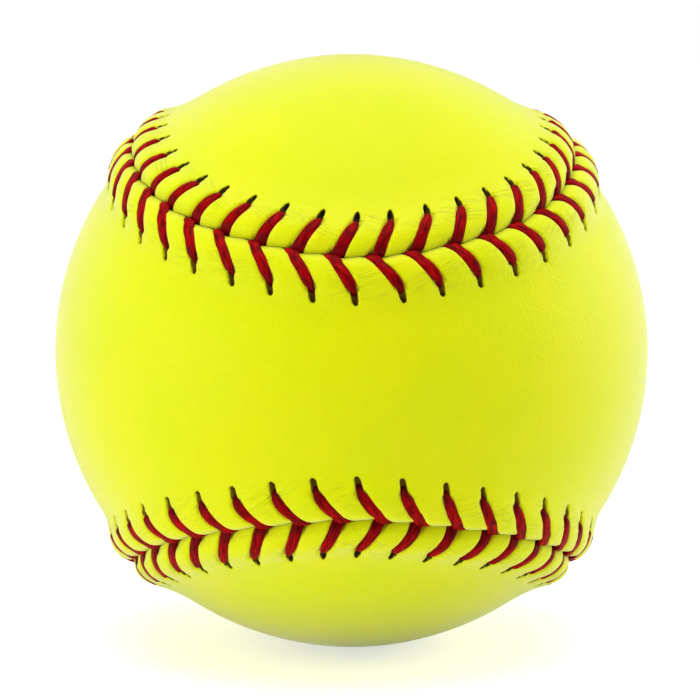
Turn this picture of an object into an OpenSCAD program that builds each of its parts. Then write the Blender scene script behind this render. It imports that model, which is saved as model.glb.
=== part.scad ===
// A twelve inch softball: a solid foam core, two figure-eight cover panels bonded over it,
// and one waxed thread that two needles lace across the raised seam between the panels.
// Millimetres. The origin is the middle of the ball. The front panel's neck faces -Y,
// with its lobes at +X and -X, and the back panel's neck faces +Y, with its lobes at +Z and -Z.

/* [Ball] */
// Diameter over the smooth cover, clear of the seam
ball_d = 97; // [93:0.5:103]
// Thickness of the glue line between the core and the cover
glue_t = 0.15; // [0.1:0.05:0.3]

/* [Cover panels] */
// Thickness of the cover sheet
cover_t = 1.4; // [1.2:0.1:1.7]
// Half width of a panel's neck, as an angle at the middle of the ball
neck_half_angle = 23.8; // [22:0.2:25]
// How far the seam swings out to round the lobes, as an angle at the middle of the ball
lobe_swing = 22.3; // [20:0.1:24]
// A second, smaller swing that rounds the lobes' shoulders, as an angle at the middle of the ball
lobe_round = 1.1; // [0.6:0.1:1.6]
// Width of the crease between the two cut edges
seam_gap = 0.5; // [0.4:0.05:0.7]

/* [Raised seam] */
// Height of the ridge's crest over the smooth cover
ridge_h = 2.1; // [1.7:0.1:2.6]
// Distance of the ridge's crest from the seam line
crest_off = 3; // [2.7:0.1:3.3]
// Distance of the rolled lip from the seam line
lip_off = 1.2; // [0.9:0.1:1.5]
// Distance from the seam line at which the ridge has run out
foot_off = 9.5; // [9:0.1:10.5]

/* [Lacing] */
// Stitches in each quarter of the seam, four of which make a panel's full round
stitches_per_quarter = 22; // [18:1:24]
// Distance from the seam line to the near end of a lacing hole
hole_off = 5; // [4.7:0.1:5.4]
// Distance from the seam line of the line along which a flat panel's holes are punched at even steps
punch_off = 1.8; // [1.2:0.1:2.4]
// Length of a lacing hole, which the thread draws out to a point
hole_len = 2.2; // [2:0.1:2.5]
// Width of the flattened thread where it lies over the ridge
thread_w = 1.8; // [1.4:0.1:2.1]
// Thickness of the flattened thread
thread_t = 0.6; // [0.5:0.05:0.7]
// Width of the thread where a hole squeezes it
thread_hole_w = 0.5; // [0.4:0.05:0.6]
// Width of the thread where it goes down into the crease
thread_dive_w = 1.1; // [0.9:0.05:1.2]
// Clearance between the thread and what it lies on or passes through
thread_gap = 0.1; // [0.08:0.01:0.13]

/* [Hidden] */

cover_colour = "#e2ec2f";
thread_colour = "#a3141b";
core_colour = "#d8c49c";

// Radii
ball_r = ball_d / 2;
lining_r = ball_r - cover_t;

// A share of one stitch by which a leg leans back along the seam, and by which the first hole is set back
lean_share = 0.5;
start_share = -0.09;

// Heights of the ridge's rows as shares of its crest: cut edge, lip, crest, near and far end of a hole
edge_h_share = 0.52;
lip_h_share = 0.83;
hole_h_share = 0.7;
tip_h_share = 0.24;

edge_off = seam_gap / 2;
tip_off = hole_off + hole_len;
edge_r = ball_r + ridge_h * edge_h_share;
lip_r = ball_r + ridge_h * lip_h_share;
crest_r = ball_r + ridge_h;
hole_r = ball_r + ridge_h * hole_h_share;
tip_r = ball_r + ridge_h * tip_h_share;

// Rows of the smooth field between the ridge and the panel's middle line
skin_row_count = 4;
lining_row_count = 4;

// The seam, as an angle t from 0 to two turns, and its table of length against angle
round_angle = 720;
table_count = 720;
slope_angle = 0.05;
stitches = stitches_per_quarter * 4;
half_round = stitches / 2;

function unit(v) = v / norm(v);

function seam_dir(t) =
    let (
        pole = 90 - (90 - neck_half_angle) * cos(t),
        turn = t / 2 + lobe_swing * sin(2 * t) + lobe_round * sin(4 * t)
    )
    [sin(pole) * sin(turn), -cos(pole), sin(pole) * cos(turn)];

function seam_along(t) = unit(seam_dir(t + slope_angle) - seam_dir(t - slope_angle));

function seam_angle(offset) = offset / ball_r * 180 / PI;

function table_angle(i) = i * round_angle / table_count;

// A unit vector beside the seam, at an offset from it towards the front panel
function beside_dir(t, offset) =
    let (
        out = seam_dir(t),
        side = cross(seam_along(t), out),
        a = seam_angle(offset)
    )
    out * cos(a) + side * sin(a);

// The length run along a line beside the seam, at each angle of the table
function line_runs(offset) =
    let (
        points = [for (i = [0 : table_count]) beside_dir(table_angle(i), offset)],
        steps = [for (i = [1 : table_count]) norm(points[i] - points[i - 1])]
    )
    [for (i = 0, run = 0; i <= table_count; run = run + (i < table_count ? steps[i] : 0), i = i + 1) run];

seam_runs = line_runs(0);
seam_table = [for (i = [0 : table_count]) [seam_runs[i], table_angle(i)]];
seam_run = seam_runs[table_count];
pitch = seam_run * ball_r / stitches;

// The seam's angle after a number of stitches
function seam_t(stitch) =
    let (round_share = stitch / stitches)
    lookup((round_share - floor(round_share)) * seam_run, seam_table);

// The core clears the middles of the lining's flat facets, which lie deeper than their corners
lobe_half_angle = asin(max([for (k = [0 : half_round]) seam_dir(seam_t(k))[2]]));
lining_step = ball_r * (lobe_half_angle - seam_angle(foot_off)) * PI / 180 / lining_row_count;
facet_sag = (lining_step * lining_step + pitch * pitch) / lining_r / 8;
core_r = lining_r - facet_sag - glue_t;

// The holes' places along the seam, in stitches: even steps on the flat panel spread round its lobes
// and close up beside its neck
punch_runs = line_runs(punch_off);
punch_table = [
    for (i = [0 : table_count])
        [punch_runs[i] / punch_runs[table_count] * stitches, seam_runs[i] / seam_run * stitches]
];

function punched(k) =
    let (rounds = floor(k / stitches))
    lookup(k - rounds * stitches, punch_table) + rounds * stitches;

// The back panel is the front one a quarter of the seam further on
function hole_shift(k, side) =
    let (own = side > 0 ? k : k - stitches_per_quarter)
    punched(own) - own;

// Unit vectors at a place on the cover: outwards, along the seam, and away from the seam
// towards the front panel
function place_frame(stitch, offset) =
    let (
        t = seam_t(stitch),
        out = seam_dir(t),
        along = seam_along(t),
        side = cross(along, out),
        a = seam_angle(offset)
    )
    [out * cos(a) + side * sin(a), along, side * cos(a) - out * sin(a)];

function place(stitch, offset, radius) = radius * place_frame(stitch, offset)[0];

// A leg's place along the seam: at its hole it is where the hole was punched, and at the seam line
// it has leaned back
function leaned(k, offset, side = 1) =
    let (share = offset / hole_off)
    k + start_share + hole_shift(k, side) * share - lean_share * (1 - share);

// Rows of a panel

function ridge_row(offset, radius) = [
    for (k = [0 : stitches - 1])
        place(leaned(k, offset), offset, radius)
];

// A hole is widest at its near end, where the thread lies, and leaves the clearance on each side of it
hole_w = (thread_hole_w + thread_gap * 2) * hole_len / (hole_len - thread_gap * 2 - thread_t);

function hole_row(radius) = [
    for (k = [0 : stitches - 1], way = [-1, 1])
        let (frame = place_frame(leaned(k, hole_off), hole_off))
        radius * unit(frame[0] * radius + frame[1] * way * hole_w / 2)
];

function tip_row(radius) = [
    for (k = [0 : stitches - 1])
        place(leaned(k, hole_off), tip_off, radius)
];

// The middle line of a panel runs between the centres of its lobes, where the outline is about widest
lobe_share = 0.55;
lobe_k = round(stitches_per_quarter * lobe_share);

function folded(k) =
    let (in_half = k % half_round)
    min(in_half, half_round - in_half, lobe_k);

function middle_dir(k) =
    let (
        from_neck = seam_dir(seam_t(folded(k))),
        way = k % stitches > half_round ? -1 : 1
    )
    unit([way * from_neck[0], from_neck[1], 0]);

function middle_index(k) =
    let (step = folded(k % stitches))
    step == 0 || k % stitches <= half_round ? step : lobe_k + step;

function middle_row(radius) = [
    for (k = [0 : lobe_k])
        radius * middle_dir(k),
    for (k = [1 : lobe_k])
        radius * middle_dir(k + half_round)
];

function field_row(share, radius) = [
    for (k = [0 : stitches - 1])
        radius * unit(place(k, foot_off, 1 - share) + middle_dir(k) * share)
];

function field_rows(rows, radius) = [
    for (i = [0 : rows - 1])
        each field_row(i / rows, radius)
];

// Faces between two rows that start at points a and b. Each is turned inside out where flip is true.

function turned(face, flip) = flip ? [face[0], face[2], face[1]] : face;

function strip(a, b, flip) = [
    for (k = [0 : stitches - 1])
        let (n = (k + 1) % stitches)
        each [
            turned([a + k, a + n, b + n], flip),
            turned([a + k, b + n, b + k], flip)
        ]
];

function strip_to_holes(a, b, flip) = [
    for (k = [0 : stitches - 1])
        let (n = (k + 1) % stitches)
        each [
            turned([a + k, b + 2 * k + 1, b + 2 * k], flip),
            turned([a + k, a + n, b + 2 * k + 1], flip),
            turned([a + n, b + 2 * n, b + 2 * k + 1], flip)
        ]
];

function strip_between_holes(a, b, flip) = [
    for (k = [0 : stitches - 1])
        let (n = (k + 1) % stitches)
        each [
            turned([a + 2 * k + 1, a + 2 * n, b + n], flip),
            turned([a + 2 * k + 1, b + n, b + k], flip)
        ]
];

function strip_to_middle(a, b, flip) = [
    for (k = [0 : stitches - 1])
        let (
            n = (k + 1) % stitches,
            here = middle_index(k),
            next = middle_index(k + 1)
        )
        each concat(
            [turned([a + k, a + n, b + here], flip)],
            here == next ? [] : [turned([a + n, b + next, b + here], flip)]
        )
];

// The walls of the lacing holes, from the outer rows of the mouth and the tip to the inner ones
function hole_walls(mouth, tip, mouth_in, tip_in) = [
    for (k = [0 : stitches - 1])
        let (left = 2 * k, right = left + 1)
        each [
            [mouth + left, mouth + right, mouth_in + right],
            [mouth + left, mouth_in + right, mouth_in + left],
            [mouth + right, tip + k, tip_in + k],
            [mouth + right, tip_in + k, mouth_in + right],
            [tip + k, mouth + left, mouth_in + left],
            [tip + k, mouth_in + left, tip_in + k]
        ]
];

// A cover panel: the outer skin, row by row from the cut edge to the middle line, and the lining under it
module panel() {
    lip = stitches;
    crest = lip + stitches;
    mouth = crest + stitches;
    tip = mouth + 2 * stitches;
    field = tip + stitches;
    middle = field + skin_row_count * stitches;
    edge_in = middle + 2 * lobe_k + 1;
    crest_in = edge_in + stitches;
    mouth_in = crest_in + stitches;
    tip_in = mouth_in + 2 * stitches;
    field_in = tip_in + stitches;
    middle_in = field_in + lining_row_count * stitches;
    points = concat(
        ridge_row(edge_off, edge_r),
        ridge_row(lip_off, lip_r),
        ridge_row(crest_off, crest_r),
        hole_row(hole_r),
        tip_row(tip_r),
        field_rows(skin_row_count, ball_r),
        middle_row(ball_r),
        ridge_row(edge_off, edge_r - cover_t),
        ridge_row(crest_off, crest_r - cover_t),
        hole_row(hole_r - cover_t),
        tip_row(tip_r - cover_t),
        field_rows(lining_row_count, lining_r),
        middle_row(lining_r)
    );
    skin = concat(
        strip(0, lip, false),
        strip(lip, crest, false),
        strip_to_holes(crest, mouth, false),
        strip_between_holes(mouth, tip, false),
        strip(tip, field, false),
        [
            for (i = [1 : skin_row_count - 1])
                each strip(field + (i - 1) * stitches, field + i * stitches, false)
        ],
        strip_to_middle(middle - stitches, middle, false)
    );
    lining = concat(
        strip(edge_in, crest_in, true),
        strip_to_holes(crest_in, mouth_in, true),
        strip_between_holes(mouth_in, tip_in, true),
        strip(tip_in, field_in, true),
        [
            for (i = [1 : lining_row_count - 1])
                each strip(field_in + (i - 1) * stitches, field_in + i * stitches, true)
        ],
        strip_to_middle(middle_in - stitches, middle_in, true)
    );
    polyhedron(
        points = points,
        faces = concat(skin, lining, strip(0, edge_in, true), hole_walls(mouth, tip, mouth_in, tip_in)),
        convexity = 8
    );
}

// The thread's route. One leg comes up through its hole, lies over the ridge, goes down the crease and
// runs under the other panel to that panel's next hole.

under_t = thread_t - thread_gap;
dive_t = seam_gap - thread_gap * 2;
under_sag = pitch * pitch / ball_r / 4;
under_r = core_r + thread_gap + under_sag + under_t / 2;
leg_r = hole_r + thread_gap + thread_t / 2;
top_r = crest_r + thread_gap * 2 + thread_t / 2;
dive_r = lip_r + thread_t / 2;
thread_off = hole_off + thread_gap * 2 + thread_t / 2;
// How far each of a stitch's two legs stands from the stitch's middle where both go down the crease
dive_apart = thread_dive_w / 2 + thread_gap * 2;

// The crease runs straight from stitch to stitch. Unit vectors where a leg goes down it, as in place_frame.
function crease_frame(k, side) =
    let (
        here = place_frame(leaned(k, 0), 0)[0] * ball_r,
        next = place_frame(leaned(k - side, 0), 0)[0] * ball_r,
        along = unit(here - next) * side,
        out = unit(here - along * side * dive_apart)
    )
    [out, along, cross(along, out)];

// One ring round the thread: its middle, the way the thread runs, its half thickness as a vector,
// and its width
function ring(middle, way, half, width) =
    let (across = unit(cross(way, half)) * width / 2)
    [middle + half + across, middle + half - across, middle - half - across, middle - half + across];

// The rings of one leg, on the front panel where side is 1 and on the back panel where it is -1
function leg(k, side) =
    let (
        hole = place_frame(leaned(k, hole_off, side), side * thread_off),
        crest = place_frame(leaned(k, crest_off, side), side * crest_off)[0],
        crease = crease_frame(k, side),
        up = hole[0],
        down = -crease[0],
        hole_high = leg_r * up,
        over = top_r * crest,
        crease_high = -dive_r * down
    )
    [
        ring(under_r * up, up, (hole[2] * thread_t - up * side * under_t) / 2, thread_hole_w),
        ring(hole_high, up, (hole[2] + up * side) * thread_t / 2, thread_hole_w),
        ring(over, crease_high - hole_high, crest * side * thread_t / 2, thread_w),
        ring(crease_high, down, -(crease[2] * dive_t + down * side * thread_t) / 2, thread_dive_w),
        ring(-under_r * down, down, -(crease[2] * dive_t + down * side * under_t) / 2, thread_dive_w)
    ];

echo(pitch = pitch, stitches = stitches, core_r = core_r, hole_w = hole_w, seam_length = seam_run * ball_r);

module core() {
    color(core_colour) sphere(r = core_r, $fn = 96);
}

module cover_panel_front() {
    color(cover_colour) panel();
}

// The back panel is the front one, mirrored front to back and given a quarter turn
module cover_panel_back() {
    color(cover_colour) rotate([0, 90, 0]) mirror([0, 1, 0]) panel();
}

// One end of the thread, which laces every other hole of each panel
module lacing(first_side) {
    corner_count = 4;
    rings = [
        for (i = [0 : stitches - 1])
            each leg(stitches - i, i % 2 == 0 ? first_side : -first_side)
    ];
    walls = [
        for (i = [0 : len(rings) - 2], c = [0 : corner_count - 1])
            let (
                n = (c + 1) % corner_count,
                here = i * corner_count,
                next = here + corner_count
            )
            each [
                [here + c, here + n, next + n],
                [here + c, next + n, next + c]
            ]
    ];
    last = (len(rings) - 1) * corner_count;
    ends = [
        [for (c = [1 : corner_count]) corner_count - c],
        [for (c = [0 : corner_count - 1]) last + c]
    ];
    color(thread_colour) polyhedron(
        points = [for (r = rings) each r],
        faces = concat(walls, ends),
        convexity = 10
    );
}

module thread_first_needle() {
    lacing(1);
}

module thread_second_needle() {
    lacing(-1);
}

core();
cover_panel_front();
cover_panel_back();
thread_first_needle();
thread_second_needle();
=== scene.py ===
"""A twelve inch softball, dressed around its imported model.

The ball is a foam core, two figure-eight cover panels that meet on a raised seam, and one waxed thread that
two needles lace across that seam. Every length is in metres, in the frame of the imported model: the front
panel's neck faces -Y and the back panel's lobes are at +Z and -Z.
"""

import logging
import math
from dataclasses import dataclass, field, fields
from enum import Enum
from functools import partial
from typing import Any

import bpy
import numpy as np
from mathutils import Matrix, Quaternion, Vector


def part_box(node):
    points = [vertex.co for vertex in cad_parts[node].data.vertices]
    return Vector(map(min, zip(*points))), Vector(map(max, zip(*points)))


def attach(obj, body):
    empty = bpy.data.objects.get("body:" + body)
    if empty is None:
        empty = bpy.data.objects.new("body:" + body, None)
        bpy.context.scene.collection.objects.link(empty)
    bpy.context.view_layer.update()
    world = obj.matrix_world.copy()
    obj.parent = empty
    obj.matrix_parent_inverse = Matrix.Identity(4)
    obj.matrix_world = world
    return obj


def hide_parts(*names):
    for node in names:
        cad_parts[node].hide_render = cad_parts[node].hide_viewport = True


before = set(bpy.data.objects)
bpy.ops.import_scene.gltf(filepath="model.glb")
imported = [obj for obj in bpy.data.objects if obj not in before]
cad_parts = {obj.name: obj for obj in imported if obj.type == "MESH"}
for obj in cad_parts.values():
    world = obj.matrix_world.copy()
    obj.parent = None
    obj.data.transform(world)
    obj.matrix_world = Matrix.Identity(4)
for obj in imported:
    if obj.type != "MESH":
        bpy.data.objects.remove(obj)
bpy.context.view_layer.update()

LOG = logging.getLogger("softball")
MM = 0.001
BODY = "root"

Array = np.ndarray
Span = tuple[float, float]


# Small helpers for numbers and meshes


def smooth_step(low: float, high: float, value: Array | float) -> Array:
    """Returns 0 below low, 1 above high and a smooth rise between them."""
    share = np.clip((value - low) / (high - low), 0.0, 1.0)
    return share * share * (3.0 - 2.0 * share)


def bell(value: Array | float, width: float | Array, power: int = 2) -> Array:
    """Returns 1 at zero and a smooth fall to 0 round the width, which is steeper for a higher power."""
    return np.exp(-((value / width) ** power))


def unit(vectors: Array) -> Array:
    """Returns the vectors at length one."""
    return vectors / np.linalg.norm(vectors, axis=-1, keepdims=True)


def run_of(points: Array) -> Array:
    """Returns the length run along a line of points, from 0 at the first."""
    return np.concatenate([[0.0], np.cumsum(np.linalg.norm(np.diff(points, axis=0), axis=1))])


def eased(values: Array, rounds: int) -> Array:
    """Blends each row into its neighbours a number of times, and keeps the ends.

    Args:
        values: Rows of numbers.
        rounds: How often they are blended.

    Returns:
        The eased rows.
    """
    result = values.copy()
    for _ in range(rounds):
        result[1:-1] = result[1:-1] / 2 + (result[:-2] + result[2:]) / 4
    return result


@dataclass(frozen=True)
class RoundNoise:
    """Smooth noise on a band that closes on itself after a whole number of cells."""

    around: int  # cells in one round of the band
    across: int  # cells over its width
    seed: int

    def at(self, along: Array, over: Array) -> Array:
        """Looks the noise up.

        Args:
            along: Places along the band, in cells.
            over: Places over the band's width, in cells.

        Returns:
            The noise at each place, from -1 to 1.
        """
        cells = np.random.default_rng(self.seed).uniform(-1.0, 1.0, (self.around, self.across))
        left, low = np.floor(along).astype(int), np.floor(over).astype(int)
        total = np.zeros_like(along)
        for right in (0, 1):
            for high in (0, 1):
                share = smooth_step(0.0, 1.0, 1 - np.abs(along - left - right))
                share = share * smooth_step(0.0, 1.0, 1 - np.abs(over - low - high))
                total += share * cells[(left + right) % self.around, (low + high) % self.across]
        return total


def placed(name: str, data: bpy.types.ID) -> bpy.types.Object:
    """Puts data in the scene.

    Args:
        name: Name of the object.
        data: Its mesh, light or camera.

    Returns:
        The new object, at the origin.
    """
    thing = bpy.data.objects.new(name, data)
    bpy.context.scene.collection.objects.link(thing)
    return thing


def add_values(mesh: bpy.types.Mesh, values: dict[str, Array]) -> None:
    """Stores a number or a vector for each point, by attribute name.

    Args:
        mesh: Mesh that takes them.
        values: One number or one row of three for each point, by name.
    """
    for name, value in values.items():
        kind, key = ("FLOAT_VECTOR", "vector") if value.ndim == 2 else ("FLOAT", "value")
        mesh.attributes.new(name, kind, "POINT").data.foreach_set(key, value.astype(np.float32).ravel())


def mesh_object(name: str, points: Array, faces: Array, values: dict[str, Array]) -> bpy.types.Object:
    """Makes a mesh object at the origin, with named values on its points.

    Args:
        name: Name of the object.
        points: Places of the points, one row each.
        faces: Triangles and quads, as rows of four indices, where a triangle repeats its third.
        values: Number or vector per point, by attribute name.

    Returns:
        The object, linked to the scene.
    """
    mesh = bpy.data.meshes.new(name)
    mesh.from_pydata(points.tolist(), [], [row[:3] if row[2] == row[3] else row for row in faces.tolist()])
    add_values(mesh, values)
    mesh.validate()
    mesh.shade_smooth()
    return placed(name, mesh)


# Small helpers for nodes

# Short names for kinds of node with a setting
KINDS = {
    "MIX": ("ShaderNodeMix", {"data_type": "RGBA"}),
    "RISE": ("ShaderNodeMapRange", {"interpolation_type": "SMOOTHSTEP"}),
    "SCALED": ("ShaderNodeVectorMath", {"operation": "SCALE"}),
    "SUM": ("ShaderNodeVectorMath", {"operation": "ADD"}),
}
SUMS = "ABSOLUTE ADD COSINE DIVIDE MAXIMUM MULTIPLY MULTIPLY_ADD POWER SIGN SINE SUBTRACT"
KINDS |= {name: ("ShaderNodeMath", {"operation": name}) for name in SUMS.split()}
ATTRIBUTE = "ShaderNodeAttribute"
BUMP = "ShaderNodeBump"
COORDINATES = "ShaderNodeTexCoord"
NOISE = "ShaderNodeTexNoise"


def linear(colour: str) -> tuple[float, float, float, float]:
    """Turns an sRGB colour, six hex digits after a hash, into linear red, green, blue and alpha."""
    channels = [int(colour[i : i + 2], 16) / 255 for i in (1, 3, 5)]
    return *(c / 12.92 if c <= 0.04045 else ((c + 0.055) / 1.055) ** 2.4 for c in channels), 1.0


def set_inputs(node: bpy.types.Node, *values: Any, **named: Any) -> None:
    """Sets or links inputs of a node.

    Args:
        node: The node.
        values: Values for its inputs in use, in order. A socket is linked, and so is a node's first output.
        named: The same by the inputs' names.
    """
    used = [socket for socket in node.inputs if socket.enabled]
    for socket, value in [*zip(used, values), *((node.inputs[key], value) for key, value in named.items())]:
        if isinstance(value, bpy.types.Node):
            value = next(output for output in value.outputs if output.enabled)
        if isinstance(value, bpy.types.NodeSocket):
            node.id_data.links.new(value, socket)
        else:
            socket.default_value = value


def add_node(tree: bpy.types.NodeTree, kind: str, *values: Any, **named: Any) -> bpy.types.Node:
    """Adds a node, sets it and links it.

    Args:
        tree: Tree that takes the node.
        kind: Type name of the node, or its short name.
        values: Values, sockets or nodes for its inputs, in order.
        named: The same by name, and the node's settings, whose names are in small letters.

    Returns:
        The node.
    """
    kind, settings = KINDS.get(kind, (kind, {}))
    node = tree.nodes.new(kind)
    for key, value in (settings | named).items():
        if key.islower():
            setattr(node, key, value)
    set_inputs(node, *values, **{key: value for key, value in named.items() if not key.islower()})
    return node


# The seam and what lies along it


class Side(Enum):
    """The two cover panels, by the sign of an offset from the seam towards them."""

    FRONT = 1
    BACK = -1


class Needle(Enum):
    """The two ends of the thread, by the panel on which each makes the first stitch."""

    FIRST = 1
    SECOND = -1


class Stray(Enum):
    """What differs a little from stitch to stitch, as in hand work."""

    HOLE = 0
    CROSSING = 1
    SWELLING = 2
    WIDTH = 3


@dataclass(frozen=True)
class Flank:
    """What the two sides of the seam don't share, since the thread is pulled to the front panel's side."""

    foot: float  # distance from the seam line at which the ridge has run out
    sag: float  # power that bends its slope, below 1 for one that falls soon and runs out slowly
    reach: float  # how far a leg's end has slid on along the crease
    brink: float  # depth of a leg's bed at the crease, as a share of the bed's
    hole_w: float  # width of a lacing hole
    hole_taper: float  # share of its width that a hole has lost at its far end, where the thread draws it out
    hole_tip: float  # length of a hole's rounded end
    opening: float  # distance from the hole's mouth at which the thread has its full width
    folding: float  # depth of the fine folds, as a share of the cover's


FLANKS = {
    Side.FRONT: Flank(9.6 * MM, 0.9, 0.8 * MM, 0.35, 1.06 * MM, 0.3, 0.45 * MM, 1.2 * MM, 1.0),
    Side.BACK: Flank(12.0 * MM, 0.75, -0.2 * MM, 1.6, 0.96 * MM, 0.1, 1.3 * MM, 1.7 * MM, 0.5),
}


@dataclass(frozen=True)
class Seam:
    """The curve on the ball where the two panels meet.

    A place along it is counted in stitches, from the top of the front panel's neck, and a place beside it by
    its offset, which is positive on the front panel.
    """

    ball_r: float  # radius of the smooth cover
    neck_half_angle: float = math.radians(23.8)  # half width of a panel's neck
    lobe_swing: float = math.radians(22.3)  # how far the seam swings out round the lobes
    lobe_round: float = math.radians(1.1)  # a second, smaller swing that rounds the lobes' shoulders
    stitches: int = 88  # in the whole round of the seam
    first_stitch: float = -0.09  # place of the first pair of holes
    steps: int = 8000  # straight steps by which the curve is measured

    def direction(self, turn: Array) -> Array:
        """Finds the seam on a unit ball.

        Args:
            turn: Angles along it, from 0 to two whole turns.

        Returns:
            A unit vector for each angle.
        """
        pole = math.pi / 2 - (math.pi / 2 - self.neck_half_angle) * np.cos(turn)
        swing = turn / 2 + self.lobe_swing * np.sin(2 * turn) + self.lobe_round * np.sin(4 * turn)
        return np.stack([np.sin(pole) * np.sin(swing), -np.cos(pole), np.sin(pole) * np.cos(swing)], axis=-1)

    def turns(self) -> tuple[Array, Array]:
        """Returns even angles along the seam, and the length run to each on a unit ball."""
        turn = np.linspace(0.0, 4 * math.pi, self.steps + 1)
        return turn, run_of(self.direction(turn))

    @property
    def pitch(self) -> float:
        """Length of seam for each stitch."""
        return self.turns()[1][-1] * self.ball_r / self.stitches

    def frames(self, stitch: Array, offset: Array | float) -> tuple[Array, Array, Array]:
        """Finds the unit vectors at places beside the seam.

        Args:
            stitch: Places along the seam, in stitches.
            offset: Offsets from the seam line.

        Returns:
            Vectors outwards, along the seam, and away from it towards the front panel.
        """
        turn, run = self.turns()
        here = np.interp(np.mod(stitch / self.stitches, 1.0) * run[-1], run, turn)
        slope = 1e-4
        seam_out = self.direction(here)
        along = unit(self.direction(here + slope) - self.direction(here - slope))
        front = np.cross(along, seam_out)
        angle = np.asarray(offset / self.ball_r)[..., None]
        out = seam_out * np.cos(angle) + front * np.sin(angle)
        return out, along, front * np.cos(angle) - seam_out * np.sin(angle)

    def points(self, stitch: Array, offset: Array | float, height: Array | float = 0.0) -> Array:
        """Returns places at a height over the smooth cover."""
        return self.frames(stitch, offset)[0] * np.asarray(self.ball_r + height)[..., None]

    def even_steps(self, offset: float) -> Array:
        """Divides a line beside the seam into even steps.

        Args:
            offset: The line's offset from the seam.

        Returns:
            A place along the seam for each stitch, in stitches.
        """
        place = np.linspace(0.0, self.stitches, self.steps // 2 + 1)
        run = run_of(self.frames(place, offset)[0])
        return np.interp(np.arange(self.stitches), run / run[-1] * self.stitches, place)


@dataclass(frozen=True)
class Lacing:
    """How the stitches lie across the seam, and how the cover rises round them."""

    seam: Seam
    hole_off: float = 5.0 * MM  # distance from the seam line at which a leg comes out of its hole
    hole_end: float = 7.2 * MM  # distance of the far end of the hole
    punch_off: float = 1.8 * MM  # distance of the line on which a flat panel's holes are punched evenly
    lean: float = 0.5  # share of a stitch by which a leg has leaned back when it reaches the seam line
    hole_lean: float = 0.3  # lean of the hole itself, as a share of the leg's
    reach_off: float = 2.6 * MM  # distance at which a leg's end starts to slide along the crease
    reach_bend: float = 1.5  # power that bends the leg there
    wander: float = 0.04  # how far a leg's ends stray from their even places, in stitches
    ridge_h: float = 1.8 * MM  # height of the seam's crest over the smooth cover
    crest_off: float = 3.0 * MM  # distance of the crest
    lip: float = 0.4  # height of the ridge at the crease, as a share of the crest's
    lip_bend: Span = (2.6, 0.8)  # powers that round it towards the crest and at the crease
    bed_depth: float = 0.55 * MM  # how deep the thread has pressed its bed into the ridge
    brink_span: Span = (0.0, 1.7 * MM)  # where the bed goes from its depth at the crease to its own
    shallow_off: float = 4.0 * MM  # distance from which the bed is shallower, by half at the hole's end
    crease_swing: float = 0.42 * MM  # how far the crease strays to each side between two stitches
    crease_turn: Span = (0.1, 0.08)  # shares of a stitch in which it crosses over, after and before a leg
    crease_fade: float = 2.2 * MM  # distance over which that straying fades out
    seed: int = 12

    def stray(self, side: Side, feature: Stray) -> Array:
        """Returns a small random number from -1 to 1 for each stitch of a panel."""
        source = np.random.default_rng([self.seed, feature.value, 0 if side is Side.FRONT else 1])
        return source.uniform(-1.0, 1.0, self.seam.stitches)

    def leg_place(self, side: Side, stitch: Array, distance: Array) -> Array:
        """Finds where a leg lies along the seam.

        Args:
            side: Panel that the leg is on.
            stitch: Whole number of the leg's stitch.
            distance: Distance from the seam line.

        Returns:
            The place along the seam, in stitches from the leg's own number.
        """
        number = np.mod(stitch, self.seam.stitches).astype(int)
        spread = self.seam.even_steps(self.punch_off * side.value) - np.arange(self.seam.stitches)
        hole = self.seam.first_stitch + (spread + self.stray(side, Stray.HOLE) * self.wander)[number]
        crossing = self.seam.first_stitch - self.lean
        crossing = crossing + self.stray(Side.FRONT, Stray.CROSSING)[number] * self.wander
        share = distance / self.hole_off
        inside = crossing * (1 - share) + hole * share
        beyond = hole + (hole - crossing) * self.hole_lean * (share - 1)
        slid = np.power(np.clip(1 - distance / self.reach_off, 0.0, 1.0), self.reach_bend)
        return np.where(share < 1, inside, beyond) - slid * FLANKS[side].reach / self.seam.pitch

    def ridge(self, side: Side, distance: Array) -> Array:
        """Finds the height of the ridge's plain section.

        Args:
            side: Panel that it is on.
            distance: Distance from the seam line.

        Returns:
            The height over the smooth cover at each distance.
        """
        near = np.clip(1 - distance / self.crest_off, 0.0, 1.0)
        lip = self.lip + (1 - self.lip) * np.power(1 - np.power(near, self.lip_bend[0]), self.lip_bend[1])
        far = np.clip((distance - self.crest_off) / (FLANKS[side].foot - self.crest_off), 0.0, 1.0)
        slope = 0.5 + 0.5 * np.cos(math.pi * np.power(far, FLANKS[side].sag))
        return self.ridge_h * np.where(distance < self.crest_off, lip, slope)

    def bed(self, side: Side, distance: Array) -> Array:
        """Finds the height of the bottom of a leg's bed.

        Args:
            side: Panel that the leg is on.
            distance: Distance from the seam line.

        Returns:
            The height over the smooth cover at each distance.
        """
        near = smooth_step(*self.brink_span, distance)
        far = smooth_step(self.shallow_off, self.hole_end, distance)
        depth = (FLANKS[side].brink * (1 - near) + near) * (1 - 0.5 * far)
        return self.ridge(side, distance) - self.bed_depth * depth

    def offset(self, side: Side, place: Array, distance: Array | float) -> Array:
        """Turns a distance from the crease, which sways from side to side, into an offset from the seam line.

        Args:
            side: Panel that it is on.
            place: Places along the seam, in stitches.
            distance: Distance from the crease.

        Returns:
            The offset at each place.
        """
        from_crossing = place - self.seam.first_stitch + self.lean
        share = from_crossing - np.floor(from_crossing)
        ease = smooth_step(0.0, self.crease_turn[0], share) * smooth_step(0.0, self.crease_turn[1], 1 - share)
        sway = self.crease_swing * (1 - 2 * share) * ease
        return side.value * distance + sway * bell(distance, self.crease_fade)


# The cover


@dataclass(frozen=True)
class Row:
    """One closed row of points round a panel, with the named values of its points."""

    points: Array
    values: dict[str, Array] = field(default_factory=dict)

    @property
    def count(self) -> int:
        """Number of points in the row."""
        return len(self.points)


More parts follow.
